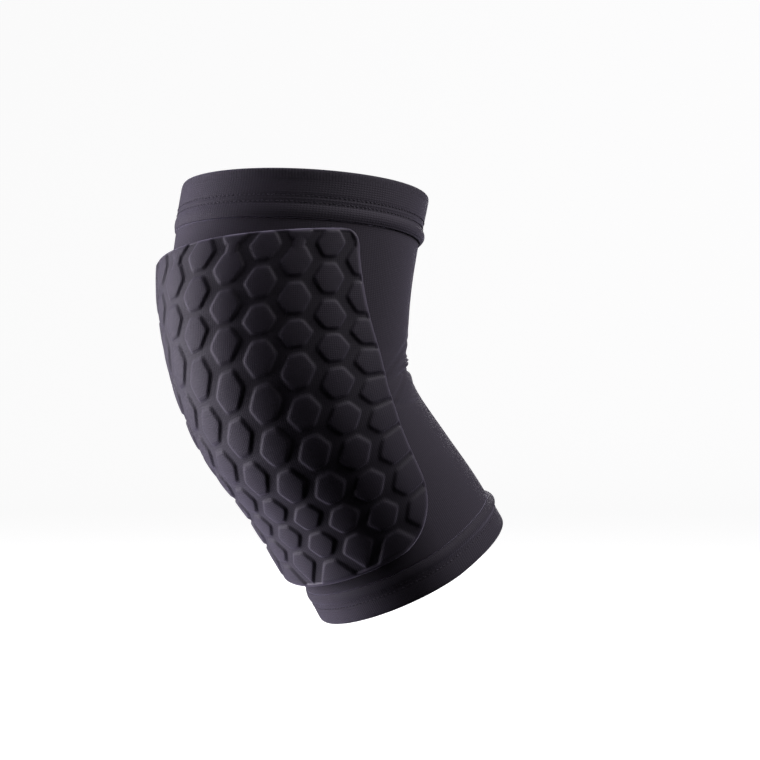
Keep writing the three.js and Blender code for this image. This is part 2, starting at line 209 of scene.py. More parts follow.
class KneePadCells(bpy.types.PropertyGroup):
    """Sizes of the honeycomb pad, as moulded flat."""

    thickness: length("Thickness", 8, "Height of the cells")
    web: length("Web", 7.0, "Height of the grooves' floor")
    crown: length("Crown", 0.4, "Doming of a cell's face")
    crown_reach: length("Crown Reach", 3.0, "How far in from its foot a cell's face is domed")
    clearance: length("Clearance", 0.3, "Gap between the pad and the knit")
    top_margin: length("Top Margin", 14.5, "Top cuff to the pad in front")
    bottom_margin: length("Bottom Margin", 9, "Bottom cuff to the pad in front")
    side_rise: length("Side Rise", 9, "How much higher the pad lies at the outer side")
    twist: length("Twist", 17, "Turn of the pad's middle to the outer side")
    top_half_width: length("Top Half Width", 102, "Half width at the top")
    bottom_half_width: length("Bottom Half Width", 113, "Half width at the bottom")
    side_bow: length("Side Bow", 4.5, "How far the sides bow out between the ends")
    top_corner: length("Top Corner", 12, "Corner radius at the top")
    bottom_corner: length("Bottom Corner", 34, "Corner radius at the bottom")
    edge_slope: length("Edge Slope", 5.6, "Width of the slope at the pad's edge")
    lip: length("Lip", 1.0, "Height of the pad's welded edge")
    # Band along the pad's edge that gets the lighter colour of a painted highlight
    weld_highlight_width: length("Weld Width", 4.3, "Width of the welded band along the pad's edge")
    top_edge: bpy.props.FloatProperty(
        name="Top Edge",
        default=0.44,
        subtype="FACTOR",
        description="Width of the edge along the top as a share of that at the sides",
    )
    rim_width: length("Rim Width", 4.4, "Pad's edge to the inner side of the raised rim")
    rim_slope: length("Rim Slope", 1.4, "Width of the rim's slope to the grooves")
    rim_height: length("Rim Height", 1.4, "Height of the raised rim over the grooves")
    column_pitch: length("Column Pitch", 20, "Distance between columns")
    rows: bpy.props.FloatProperty(name="Rows", default=9.9, description="Rows from edge to edge")
    row_groove: length("Row Groove", 1.5, "Floor of the groove between the cells of a column")
    side_groove: length("Side Groove", 4.3, "Floor of the groove between columns")
    cell_slope: length("Cell Slope", 1.9, "Width of a cell's sloped side")
    corner_blend: length("Corner Blend", 0.65, "Rounding of a cell's corners")
    neck_half_width: length("Neck Half Width", 4.4, "Half width of the necks along the top edge")
    centre_margin: length("Centre Margin", 1.0, "Least distance from a cell's centre to the edge")


class KneePadThread(bpy.types.PropertyGroup):
    """Sizes of the stitching."""

    pitch: length("Pitch", 2.6, "Distance between stitches")
    stitch: length("Stitch", 1.9, "Length of a stitch")
    thread: length("Thread", 0.28, "Radius of the thread")


class KneePadLooks(bpy.types.PropertyGroup):
    """Colours of the cloth and the thread."""

    knit: cloth_colour("Knit", (0.0115, 0.0096, 0.0138), "Sleeve colour")
    cuff: cloth_colour("Cuff", (0.012, 0.0101, 0.0146), "Cuff colour")
    pad: cloth_colour("Pad", (0.012, 0.0101, 0.0149), "Pad cover colour")
    # Lighter than the pad's cover: a painted highlight along the welded edge
    weld: cloth_colour("Weld", (0.021, 0.018, 0.0258), "Pad edge colour")
    thread: cloth_colour("Thread", (0.0125, 0.0106, 0.0148), "Thread colour")


class KneePadStage(bpy.types.PropertyGroup):
    """The camera, and where the knee lies in its picture."""

    camera_azimuth: angle("Azimuth", 52, "Camera's turn from the front")
    camera_distance: length("Distance", 1600, "Camera to the knee")
    picture_scale: length("Picture Scale", 0.55, "Size of one picture pixel at the knee")
    picture_size: bpy.props.IntProperty(
        name="Picture Size", default=760, description="Pixels on a side"
    )
    origin_column: bpy.props.FloatProperty(
        name="Origin Column", default=307.5, description="Pixel column of the knee"
    )
    origin_row: bpy.props.FloatProperty(
        name="Origin Row", default=396.6, description="Pixel row of the knee"
    )


def curve_through(table, key):
    """Function that runs smoothly through a table's column."""
    x = np.array(table["along"])
    y = np.array(table[key])
    steep = np.diff(y) / np.diff(x)
    slope = np.concatenate([steep[:1], (steep[:-1] + steep[1:]) / 2, steep[-1:]])

    def evaluate(at):
        at = np.clip(at, x[0], x[-1])
        i = np.clip(np.searchsorted(x, at, side="right") - 1, 0, len(x) - 2)
        step = x[i + 1] - x[i]
        s = (at - x[i]) / step
        start = (1 + 2 * s) * (1 - s) ** 2 * y[i] + s * (1 - s) ** 2 * step * slope[i]
        end = s**2 * (3 - 2 * s) * y[i + 1] + s**2 * (s - 1) * step * slope[i + 1]
        return start + end

    return evaluate


SECTION_WIDTH = curve_through(SECTIONS, "width")
SECTION_DEPTH = curve_through(SECTIONS, "depth")
SECTION_FRONT = curve_through(SECTIONS, "front")
LAY_ACROSS = curve_through(PAD_LAY, "across")
LAY_MIDDLE = curve_through(PAD_LAY, "middle")
LAY_RISE = curve_through(PAD_LAY, "rise")


def smooth_step(value):
    """Rise from nought to one with soft ends."""
    value = np.clip(value, 0, 1)
    return value * value * (3 - 2 * value)


def degrees_between(theta, place):
    """Turn in degrees from a place round the leg, the short way."""
    return (np.degrees(theta) - place + 180) % 360 - 180


def running_sum(values, step):
    """Integral of evenly spaced values, nought at the middle one."""
    total = np.concatenate([[0], np.cumsum((values[1:] + values[:-1]) / 2) * step])
    return total - total[len(total) // 2]


class Leg:
    """The sleeve's outside as a surface over the turn theta and the distance t along the leg."""

    def __init__(self, form, knit):
        self.form = form
        self.knit = knit
        step = 0.2 * MM
        past_rims = 30 * MM
        half_bend = form.bend_radius * (form.thigh_lean + form.shin_lean) / 2
        reach = max(form.thigh_length, form.shin_length) + past_rims
        count = math.ceil(reach / step)
        self.line_t = np.arange(-count, count + 1) * step
        # The bend starts and ends gently
        bent = smooth_step((half_bend + form.bend_ease / 2 - np.abs(self.line_t)) / form.bend_ease)
        middle_lean = (form.thigh_lean - form.shin_lean) / 2
        self.line_lean = middle_lean + running_sum(bent / form.bend_radius, step)
        self.line_y = running_sum(np.sin(self.line_lean), step)
        self.line_z = running_sum(np.cos(self.line_lean), step)

    def share(self, t):
        """Distance along the leg as a share of the thigh's or the shin's length."""
        return np.where(t > 0, t / self.form.thigh_length, t / self.form.shin_length)

    def distance(self, share):
        """Distance along the leg at a share of the thigh's or the shin's length."""
        return share * (self.form.thigh_length if share > 0 else self.form.shin_length)

    def centre_line(self, t):
        """The centre line's y, z and lean."""
        lines = (self.line_y, self.line_z, self.line_lean)
        return tuple(np.interp(t, self.line_t, line) for line in lines)

    def section(self, t):
        """Half width, and depth in front of the centre line and behind it."""
        form = self.form
        share = self.share(t)
        width = np.where(share > 0, form.thigh_width, form.shin_width)
        depth = np.where(share > 0, form.thigh_depth, form.shin_depth)
        # The taper above the knee passes softly into the one below it
        away = np.sqrt(share**2 + KNEE_BLEND**2) - KNEE_BLEND
        width = (form.knee_width + (width - form.knee_width) * away) * SECTION_WIDTH(share)
        depth = (form.knee_depth + (depth - form.knee_depth) * away) * SECTION_DEPTH(share)
        front = depth * SECTION_FRONT(share)
        return width / 2, front, depth - front

    def point(self, theta, t):
        """Places on the plain surface, without folds."""
        y, z, lean = self.centre_line(t)
        half_width, front, back = self.section(t)
        forward = np.where(np.cos(theta) > 0, front, back) * np.cos(theta)
        x = half_width * np.sin(theta)
        return np.stack([x + 0 * t, y - forward * np.cos(lean), z + forward * np.sin(lean)], -1)

    def outward(self, theta, t):
        """Unit normals of the plain surface."""
        turn_step = 0.01
        length_step = 0.5 * MM
        around = self.point(theta + turn_step, t) - self.point(theta - turn_step, t)
        up = self.point(theta, t + length_step) - self.point(theta, t - length_step)
        normal = np.cross(around, up)
        return normal / np.linalg.norm(normal, axis=-1, keepdims=True)

    def fold_depth(self, theta, t):
        """How far the folds behind the knee reach in."""
        total = 0
        for fold in FOLDS:
            along = (t - self.distance(fold["along"])) / (fold["height"] * self.knit.fold_height)
            turn = degrees_between(theta, fold["at"])
            total = total + fold["depth"] * np.exp(-(along**2) - (turn / fold["spread"]) ** 2)
        return self.knit.fold_depth * total

    def crease_depth(self, theta, t):
        """How far the fine creases reach in. Each is a valley with a low ridge on both sides."""
        total = 0
        for crease in CREASES:
            turn = degrees_between(theta, crease["at"])
            climb = crease["slope"] * turn / 90 * self.form.thigh_length
            middle = self.distance(crease["along"]) + climb
            along = (t - middle) / (crease["height"] * self.knit.crease_height)
            shape = (1 - CREASE_RIDGE * along**2) * np.exp(-(along**2))
            total = total + crease["depth"] * shape * np.exp(-((turn / crease["half"]) ** 4))
        return self.knit.crease_depth * total

    def raised(self, theta, t, height):
        """Places at a height over the plain surface."""
        return self.point(theta, t) + self.outward(theta, t) * np.asarray(height)[..., None]

    def skin(self, theta, t, height, creased=True):
        """Places at a height over the folded surface, with or without the fine creases."""
        depth = self.fold_depth(theta, t)
        if creased:
            depth = depth + self.crease_depth(theta, t)
        return self.raised(theta, t, height - depth)

    def top_rim(self, theta):
        """Distance of the top rim along the leg."""
        front, side = self.form.top_rim_front, self.form.top_rim_side
        return self.form.thigh_length + front * np.cos(theta) + side * np.sin(theta)

    def bottom_rim(self, theta):
        """Distance of the bottom rim along the leg."""
        front, side = self.form.bottom_rim_front, self.form.bottom_rim_side
        return -self.form.shin_length + front * np.cos(theta) + side * np.sin(theta)


def leg_of(context):
    """The leg with the scene's sizes."""
    return Leg(context.scene.knee_pad_form, context.scene.knee_pad_knit)


def mesh_object(name, points, faces, corners_uv, material):
    """Object of a mesh with smooth faces and a UV map, in the scene."""
    mesh = bpy.data.meshes.new(name)
    mesh.from_pydata(points.reshape(-1, 3).tolist(), [], faces)
    uv = mesh.uv_layers.new(name="cloth")
    uv.data.foreach_set("uv", np.asarray(corners_uv, np.float32).ravel())
    mesh.polygons.foreach_set("use_smooth", np.ones(len(mesh.polygons), bool))
    mesh.materials.append(material)
    mesh.validate()
    mesh.update()
    made = bpy.data.objects.new(name, mesh)
    bpy.context.scene.collection.objects.link(made)
    return made


def ring_grid(name, points, material, girth, along):
    """Closed band: points[i, j] goes round the leg with i and round the wall's section with j.

    girth and along, a distance for each j and for the first again, are the band's UV sizes.
    """
    around, section = points.shape[:2]
    i, j = np.meshgrid(np.arange(around), np.arange(section), indexing="ij")
    here = i * section + j
    beside = (i + 1) % around * section + j
    above = i * section + (j + 1) % section
    beside_above = (i + 1) % around * section + (j + 1) % section
    faces = np.stack([here, beside, beside_above, above], -1).reshape(-1, 4)
    u0, u1 = i / around * girth, (i + 1) / around * girth
    v0, v1 = along[j], along[j + 1]
    corners = ((u0, v0), (u1, v0), (u1, v1), (u0, v1))
    uv = np.stack([np.stack(corner, -1) for corner in corners], 2)
    return mesh_object(name, points, faces.tolist(), uv.reshape(-1, 2), material)


def finish_piece(piece, node):
    """Hides the CAD part that the piece replaces, if one is given, and attaches the piece to the
    root body.
    """
    if node:
        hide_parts(node)
    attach(piece, "root")


def add_node(tree, kind, inputs=None, **settings):
    """New node with its settings. An input, by name or number, is a value or an output to link."""
    node = tree.nodes.new(kind)
    for key, value in settings.items():
        setattr(node, key, value)
    for key, value in (inputs or {}).items():
        if isinstance(value, bpy.types.NodeSocket):
            tree.links.new(value, node.inputs[key])
        else:
            node.inputs[key].default_value = value
    return node


def add_noise(tree, place, scale, detail, roughness):
    """Noise over the piece, as an output from nought to one."""
    inputs = {"Vector": place, "Scale": scale, "Detail": detail, "Roughness": roughness}
    return add_node(tree, "ShaderNodeTexNoise", inputs).outputs["Fac"]


def add_weave(tree, rib_pitch):
    """Ribs along the cloth's UV map crossed by its courses, as an output from nought to one."""
    course_pitch = 0.8 * rib_pitch
    bands_to_unit = 20 / (2 * math.pi)
    uv = add_node(tree, "ShaderNodeUVMap", uv_map="cloth").outputs["UV"]
    ribs = {
        "Vector": uv,
        "Scale": 1 / (bands_to_unit * rib_pitch),
        "Distortion": 0.6,
        "Detail": 2.0,
        "Detail Scale": 120.0,
    }
    courses = {"Vector": uv, "Scale": 1 / (bands_to_unit * course_pitch), "Distortion": 0.8}
    ribs = add_node(tree, "ShaderNodeTexWave", ribs, bands_direction="X")
    courses = add_node(tree, "ShaderNodeTexWave", courses, bands_direction="Y")
    inputs = {0: ribs.outputs["Fac"], 1: courses.outputs["Fac"]}
    return add_node(tree, "ShaderNodeMath", inputs, operation="MULTIPLY").outputs["Value"]


def knit_material(name, colour, rib_pitch, rib_depth, roughness, sheen, raised=None):
    """Black knit: fine ribs that follow the piece's UV, fuzz, worn and dusty patches and a sheen.

    raised names an attribute that is nought in the piece's grooves, where the colour is darkened as
    painted shade.
    """
    darkest, lightest = 0.72, 1.3
    weave_in_shade = 0.45
    fibres_in_relief = 0.7
    roughness_spread = 0.08
    material = bpy.data.materials.new(name)
    material.use_nodes = True
    tree = material.node_tree
    tree.nodes.clear()

    place = add_node(tree, "ShaderNodeTexCoord").outputs["Object"]
    patches = add_noise(tree, place, scale=14.0, detail=5.0, roughness=0.6)
    fibres = add_noise(tree, place, scale=900.0, detail=3.0, roughness=0.65)
    weave = add_weave(tree, rib_pitch)

    inputs = {0: weave, 1: weave_in_shade, 2: patches}
    amount = add_node(tree, "ShaderNodeMath", inputs, operation="MULTIPLY_ADD").outputs["Value"]
    # Painted shade: where raised is given, the colour falls towards its darkest in the piece's
    # grooves
    if raised:
        height = add_node(tree, "ShaderNodeAttribute", attribute_name=raised).outputs["Fac"]
        inputs = {0: amount, 1: height}
        amount = add_node(tree, "ShaderNodeMath", inputs, operation="MULTIPLY").outputs["Value"]
    # A colour mix has its factor at input 0, its colours at 6 and 7 and its result at output 2
    dark = (*(darkest * value for value in colour[:3]), 1)
    light = (*(lightest * value for value in colour[:3]), 1)
    shade = add_node(tree, "ShaderNodeMix", {0: amount, 6: dark, 7: light}, data_type="RGBA")

    inputs = {
        "Value": patches,
        "To Min": roughness - roughness_spread,
        "To Max": roughness + roughness_spread,
    }
    rough = add_node(tree, "ShaderNodeMapRange", inputs)
    inputs = {0: fibres, 1: fibres_in_relief, 2: weave}
    relief = add_node(tree, "ShaderNodeMath", inputs, operation="MULTIPLY_ADD")
    inputs = {"Height": relief.outputs["Value"], "Strength": 0.55, "Distance": rib_depth}
    bump = add_node(tree, "ShaderNodeBump", inputs)
    inputs = {
        "Base Color": shade.outputs[2],
        "Roughness": rough.outputs["Result"],
        "Normal": bump.outputs["Normal"],
        "Specular IOR Level": 0.1,
        "Sheen Weight": sheen,
        "Sheen Roughness": 0.42,
        "Sheen Tint": (0.75, 0.69, 0.93, 1),
    }
    shader = add_node(tree, "ShaderNodeBsdfPrincipled", inputs)
    add_node(tree, "ShaderNodeOutputMaterial", {"Surface": shader.outputs["BSDF"]})
    return material


class KNEEPAD_OT_stage(bpy.types.Operator):
    """Camera, floor and studio lights"""

    bl_idname = "knee_pad.stage"
    bl_label = "Stage"

    def execute(self, context):
        stage = context.scene.knee_pad_stage
        turn = stage.camera_azimuth
        towards_camera = np.array([math.sin(turn), -math.cos(turn), 0])
        to_right = np.array([math.cos(turn), math.sin(turn), 0])
        up = np.array([0, 0, 1])

        camera_data = bpy.data.cameras.new("camera")
        camera = bpy.data.objects.new("camera", camera_data)
        context.scene.collection.objects.link(camera)
        camera.location = towards_camera * stage.camera_distance
        camera.rotation_euler = (math.pi / 2, 0, turn)
        frame_width = stage.picture_scale * stage.picture_size
        camera_data.lens = camera_data.sensor_width * stage.camera_distance / frame_width
        camera_data.shift_x = 0.5 - stage.origin_column / stage.picture_size
        camera_data.shift_y = stage.origin_row / stage.picture_size - 0.5
        context.scene.camera = camera

        self.add_surroundings()
        for light in LIGHTS:
            place = light["right"] * to_right + light["near"] * towards_camera + light["up"] * up
            self.add_light(context, light, place)

        world = bpy.data.worlds.new("studio")
        world.use_nodes = True
        background = world.node_tree.nodes["Background"]
        background.inputs["Color"].default_value = (1, 1, 1, 1)
        background.inputs["Strength"].default_value = WORLD_STRENGTH
        context.scene.world = world
        context.scene.view_settings.view_transform = "Standard"
        return {"FINISHED"}

    def add_light(self, context, light, place):
        """Round lamp that faces the knee."""
        data = bpy.data.lights.new(light["name"], "AREA")
        data.shape = "DISK"
        data.size = LIGHT_SIZE
        data.energy = light["power"]
        data.color = light["colour"]
        lamp = bpy.data.objects.new(light["name"], data)
        context.scene.collection.objects.link(lamp)
        lamp.location = place
        x, y, z = -place / np.linalg.norm(place)
        lamp.rotation_euler = (math.acos(-z), 0, math.atan2(x, -y) + math.pi)

    def add_surroundings(self):
        """Pale floor that curves up all round into a pale wall. It is seen but lends no light."""
        gap_below = 0.03
        middle, inner, radius, bend, wall_height = 0.0001, 0.8, 3.4, 1.0, 3.4
        around, bend_steps = 96, 12
        profile = [(middle, 0.0), (inner, 0.0), (radius - bend, 0.0)]
        for step in range(1, bend_steps + 1):
            tilt = step / bend_steps * math.pi / 2
            profile.append((radius - bend + bend * math.sin(tilt), bend - bend * math.cos(tilt)))
        profile += [(radius, wall_height), (radius * 0.75, wall_height * 1.4)]
        profile += [(middle, wall_height * 1.6)]
        distance, height = np.array(profile).T
        turn = np.linspace(0, 2 * np.pi, around, endpoint=False)[:, None]
        x, y, z = distance * np.sin(turn), distance * np.cos(turn), height + LOWEST_POINT - gap_below
        points = np.stack(np.broadcast_arrays(x, y, z), -1)
        count = len(profile)
        faces = []
        for i in range(around):
            here, beside = i * count, (i + 1) % around * count
            for j in range(count - 1):
                faces.append((here + j, here + j + 1, beside + j + 1, beside + j))
        paper = bpy.data.materials.new("paper")
        paper.use_nodes = True
        shader = paper.node_tree.nodes["Principled BSDF"]
        shader.inputs["Base Color"].default_value = (0.2, 0.2, 0.2, 1)
        shader.inputs["Roughness"].default_value = 0.9
        shader.inputs["Emission Color"].default_value = (1, 1, 1, 1)
        shader.inputs["Emission Strength"].default_value = 0.93
        floor = mesh_object("floor", points, faces, np.zeros((4 * len(faces), 2)), paper)
        floor.visible_diffuse = False
        floor.visible_glossy = False
        floor.visible_shadow = False


class KNEEPAD_OT_sleeve(bpy.types.Operator):
    """Knit tube with its folds and creases"""

    bl_idname = "knee_pad.sleeve"
    bl_label = "Sleeve"

    def execute(self, context):
        leg = leg_of(context)
        knit = context.scene.knee_pad_knit
        around, rows = 200, 176
        theta = np.linspace(0, 2 * np.pi, around, endpoint=False)[:, None]
        low = leg.bottom_rim(theta) + knit.bottom_cuff_height + knit.piece_gap
        high = leg.top_rim(theta) - knit.top_cuff_height - knit.piece_gap
        share = np.linspace(0, 1, rows)[None, :]
        t = low + (high - low) * share
        outside = leg.skin(theta, t, np.zeros_like(t))
        inside = leg.skin(theta, t, np.full_like(t, -knit.sleeve_wall))[:, ::-1]
        points = np.concatenate([outside, inside], 1)
        along = np.concatenate([share[0], share[0][::-1], [0]]) * SLEEVE_LENGTH
        colour = context.scene.knee_pad_looks.knit
        material = knit_material("knit", colour, 1.25 * MM, 0.25 * MM, roughness=0.8, sheen=0.16)
        sleeve = ring_grid("knee_sleeve", points, material, SLEEVE_GIRTH, along)
        finish_piece(sleeve, "sleeve")
        return {"FINISHED"}


def roll_share(theta):
    """How much of the rolled seam shows: all of it behind the knee, a trace in front."""
    share_in_front = 0.25
    behind = (1 - np.cos(theta)) / 2
    return share_in_front + (1 - share_in_front) * behind**2


def cuff_profile(height, knit):
    """Section of a cuff: distance from the rim, height over the leg and height of the full roll."""
    outer_steps, inner_steps = 64, 12
    rim_drop, rim_reach = 0.9 * MM, 0.7 * MM
    groove_depth, groove_reach = 0.22 * MM, 0.9 * MM
    # The roll ends a little short of the cuff's edge, and its top is blunt
    roll_turn, roll_power = 1.08, 0.8
    from_rim = np.linspace(0, 1, outer_steps) * height
    level = np.full(outer_steps, knit.cuff_proud)
    level -= rim_drop * np.exp(-from_rim / rim_reach)
    for row in STITCH_ROWS:
        level -= groove_depth * np.exp(-(((from_rim - row * height) / groove_reach) ** 2))
    start = height - knit.roll_height
    across = np.clip((from_rim - start) / knit.roll_height, 0, 1)
    roll = np.sin(np.pi * np.clip(across * roll_turn, 0, 1)) ** roll_power * (across > 0)
    inner = np.linspace(1, 0, inner_steps) * height
    from_rim = np.concatenate([from_rim, inner])
    level = np.concatenate([level, np.full(inner_steps, knit.cuff_proud - knit.cuff_wall)])
    roll = np.concatenate([roll, np.zeros(inner_steps)]) * knit.roll_proud
    return from_rim, level, roll


class KNEEPAD_OT_cuffs(bpy.types.Operator):
    """Turned cuffs with their rolled seams"""

    bl_idname = "knee_pad.cuffs"
    bl_label = "Cuffs"

    def execute(self, context):
        colour = context.scene.knee_pad_looks.cuff
        material = knit_material(
            "cuff_knit", colour, 1.5 * MM, 0.3 * MM, roughness=0.74, sheen=0.15
        )
        self.add_cuff(context, "thigh_cuff", "top_cuff", -1, material)
        self.add_cuff(context, "shin_cuff", "bottom_cuff", 1, material)
        return {"FINISHED"}

    def add_cuff(self, context, name, node, direction, material):
        """Cuff that runs from its rim down the leg, direction -1, or up it, direction 1."""
        leg = leg_of(context)
        knit = context.scene.knee_pad_knit
        around = 240
        height = knit.top_cuff_height if direction < 0 else knit.bottom_cuff_height
        from_rim, level, roll = cuff_profile(height, knit)
        theta = np.linspace(0, 2 * np.pi, around, endpoint=False)[:, None]
        rim = leg.top_rim(theta) if direction < 0 else leg.bottom_rim(theta)
        t = rim + direction * from_rim[None, :]
        heights = level[None, :] + roll[None, :] * roll_share(theta)
        points = leg.skin(theta, t, heights, creased=False)
        if direction < 0:
            points = points[:, ::-1]
        along = np.concatenate([from_rim, from_rim[:1]])
        cuff = ring_grid(name, points, material, CUFF_GIRTH, along)
        finish_piece(cuff, node)


class PadShape:
    """The honeycomb pad: its place on the leg and its relief."""

    def __init__(self, context):
        scene = context.scene
        form, knit, cells = scene.knee_pad_form, scene.knee_pad_knit, scene.knee_pad_cells
        self.leg = leg_of(context)
        self.cells = cells
        top = form.thigh_length + form.top_rim_front - knit.top_cuff_height - cells.top_margin
        bottom = -form.shin_length + form.bottom_rim_front
        bottom += knit.bottom_cuff_height + cells.bottom_margin
        # The pad's length is that of a line down the leg, along which the rows lie evenly
        line_turn = math.radians(60)
        line_steps = 400
        self.line_t = np.linspace(bottom, top, line_steps)
        line = self.leg.point(np.full(line_steps, line_turn), self.line_t)
        steps = np.linalg.norm(np.diff(line, axis=0), axis=1)
        self.line_length = np.concatenate([[0], np.cumsum(steps)])
        self.length = self.line_length[-1]
        self.row_pitch = self.length / cells.rows

    def place(self, x, y, height):
        """Points for places on the flat pad; x has a row for each y."""
        share = y / self.length
        arc = self.cells.twist * LAY_MIDDLE(share)[:, None] + x * LAY_ACROSS(share)[:, None]
        front_t = np.interp(y, self.line_length, self.line_t)
        theta = np.stack([self.turn_at(arc[row], front_t[row]) for row in range(len(y))])
        rise = self.cells.side_rise * LAY_RISE(share)[:, None] * np.sin(theta)
        return self.leg.raised(theta, front_t[:, None] + rise, height + self.cells.clearance)

    def turn_at(self, arc, t):
        """Turn round the leg for distances over the pad's face from the front."""
        half_width, front, back = self.leg.section(np.array(t))
        lift = 8.5 * MM
        half_steps = 360
        turn = np.linspace(-math.pi, math.pi, 2 * half_steps + 1)
        reach = np.where(np.cos(turn) > 0, front, back) + lift
        speed = np.hypot((half_width + lift) * np.cos(turn), reach * np.sin(turn))
        walked = np.concatenate([[0], np.cumsum((speed[1:] + speed[:-1]) / 2 * np.diff(turn))])
        walked -= walked[half_steps]
        return np.interp(arc, walked, turn)

    def half_width(self, y):
        """Half width of the flat pad at a height, with bowed sides and rounded corners."""
        cells = self.cells
        change = cells.top_half_width - cells.bottom_half_width
        widths = [cells.bottom_half_width] * 2
        for share in BOW_SHARES:
            widths.append(cells.bottom_half_width + change * share + cells.side_bow)
        widths += [cells.top_half_width] * 2
        levels = [0, cells.bottom_corner] + [share * self.length for share in BOW_SHARES]
        levels += [self.length - cells.top_corner, self.length]
        width = np.interp(y, levels, widths)
        low = np.clip(1 - y / cells.bottom_corner, 0, 1)
        high = np.clip(1 - (self.length - y) / cells.top_corner, 0, 1)
        width -= cells.bottom_corner * (1 - np.sqrt(1 - low**2))
        width -= cells.top_corner * (1 - np.sqrt(1 - high**2))
        return width

    def holds_centre(self, x, y):
        """Whether a cell with its centre here is on the pad, or above its top edge."""
        margin = self.cells.centre_margin
        on_pad = (np.abs(x) < self.half_width(y) - margin) & (y > margin)
        return on_pad | (y > self.length - self.row_pitch)

    def cell_inset(self, x, y):
        """How far a place lies inside the foot of its cell; negative in the grooves.

        A cell has no side where its neighbour's centre would lie off the pad. There it runs out to
        the rim.
        """
        cells = self.cells
        pitch, row = cells.column_pitch, self.row_pitch
        slant = math.hypot(row / 2, pitch / 3)
        blend = cells.corner_blend
        best = np.full_like(x, -pitch)
        column = np.round(x / pitch)
        for column_step, row_step in itertools.product((-1, 0, 1), (0, 1)):
            number = column + column_step
            odd = np.mod(number, 2)
            first = self.length - (EVEN_COLUMN + (ODD_COLUMN - EVEN_COLUMN) * odd) * row
            centre = first - (np.round((first - y) / row) - row_step) * row
            across = x - number * pitch
            over = y - centre
            sides = []
            for way, high in itertools.product((-1, 1), (-1, 1)):
                reach = (pitch / 1.5 - way * across) * row / 2 - high * over * pitch / 3
                closed = self.holds_centre((number + way) * pitch, centre + high * row / 2)
                sides.append(np.where(closed, reach / slant - cells.side_groove / 2, pitch))
            for high in (-1, 1):
                closed = self.holds_centre(number * pitch, centre + high * row)
                sides.append(np.where(closed, row / 2 - high * over - cells.row_groove / 2, pitch))
            inset = -blend * np.logaddexp.reduce(-np.array(sides) / blend)
            # Along the top edge a neck joins the half cells to the cells below them
            neck = (odd > 0.5) & (y > first)
            inset = np.where(neck, np.maximum(inset, cells.neck_half_width - np.abs(across)), inset)
            on_pad = self.holds_centre(number * pitch, centre)
            best = np.maximum(best, np.where(on_pad, inset, -pitch))
        return best

    def edge_distance(self, x, y):
        """Distance to the flat pad's outline, sampled as points; y is the same along a row."""
        samples = 900
        sampled_edge = 8 * MM
        half = self.half_width(y[:, 0])
        level = np.linspace(0, self.length, samples)
        width = self.half_width(level)
        outline = [*zip(width, level), *zip(-width, level)]
        for end_level, end_width in ((0, half[0]), (self.length, half[-1])):
            outline += [(place, end_level) for place in np.linspace(-end_width, end_width, samples)]
        tree = KDTree(len(outline))
        for index, place in enumerate(outline):
            tree.insert((*place, 0), index)
        tree.balance()
        near = np.minimum.reduce([half[:, None] - np.abs(x), y, self.length - y])
        distance = near.copy()
        for i, j in zip(*np.nonzero(near < sampled_edge)):
            distance[i, j] = min(near[i, j], tree.find((x[i, j], y[i, j], 0))[2])
        return distance

    def within_edge(self, y, from_edge):
        """Distance from the edge, counted faster along the top, where edge and rim are narrower."""
        near_top = smooth_step(1 - (self.length - y) / self.cells.top_corner)
        return from_edge / (1 - (1 - self.cells.top_edge) * near_top)

    def relief(self, x, y, from_edge):
        """Height of the pad's face over its underside, and how far it is out of the grooves."""
        cells = self.cells
        inset = self.cell_inset(x, y)
        deep = cells.thickness - cells.web
        rise = smooth_step(inset / cells.cell_slope)
        domed = 1 - np.exp(-np.maximum(inset - cells.cell_slope / 2, 0) / cells.crown_reach)
        rim = cells.rim_height * smooth_step((cells.rim_width - from_edge) / cells.rim_slope)
        face = cells.web + np.maximum(deep * rise + cells.crown * domed, rim)
        # The edge falls off in a quarter round to the thin welded lip
        inward = 1 - np.clip(from_edge / cells.edge_slope, 0, 1)
        height = cells.lip + (face - cells.lip) * np.sqrt(1 - inward**2)
        return height, np.clip((face - cells.web) / deep, 0, 1)


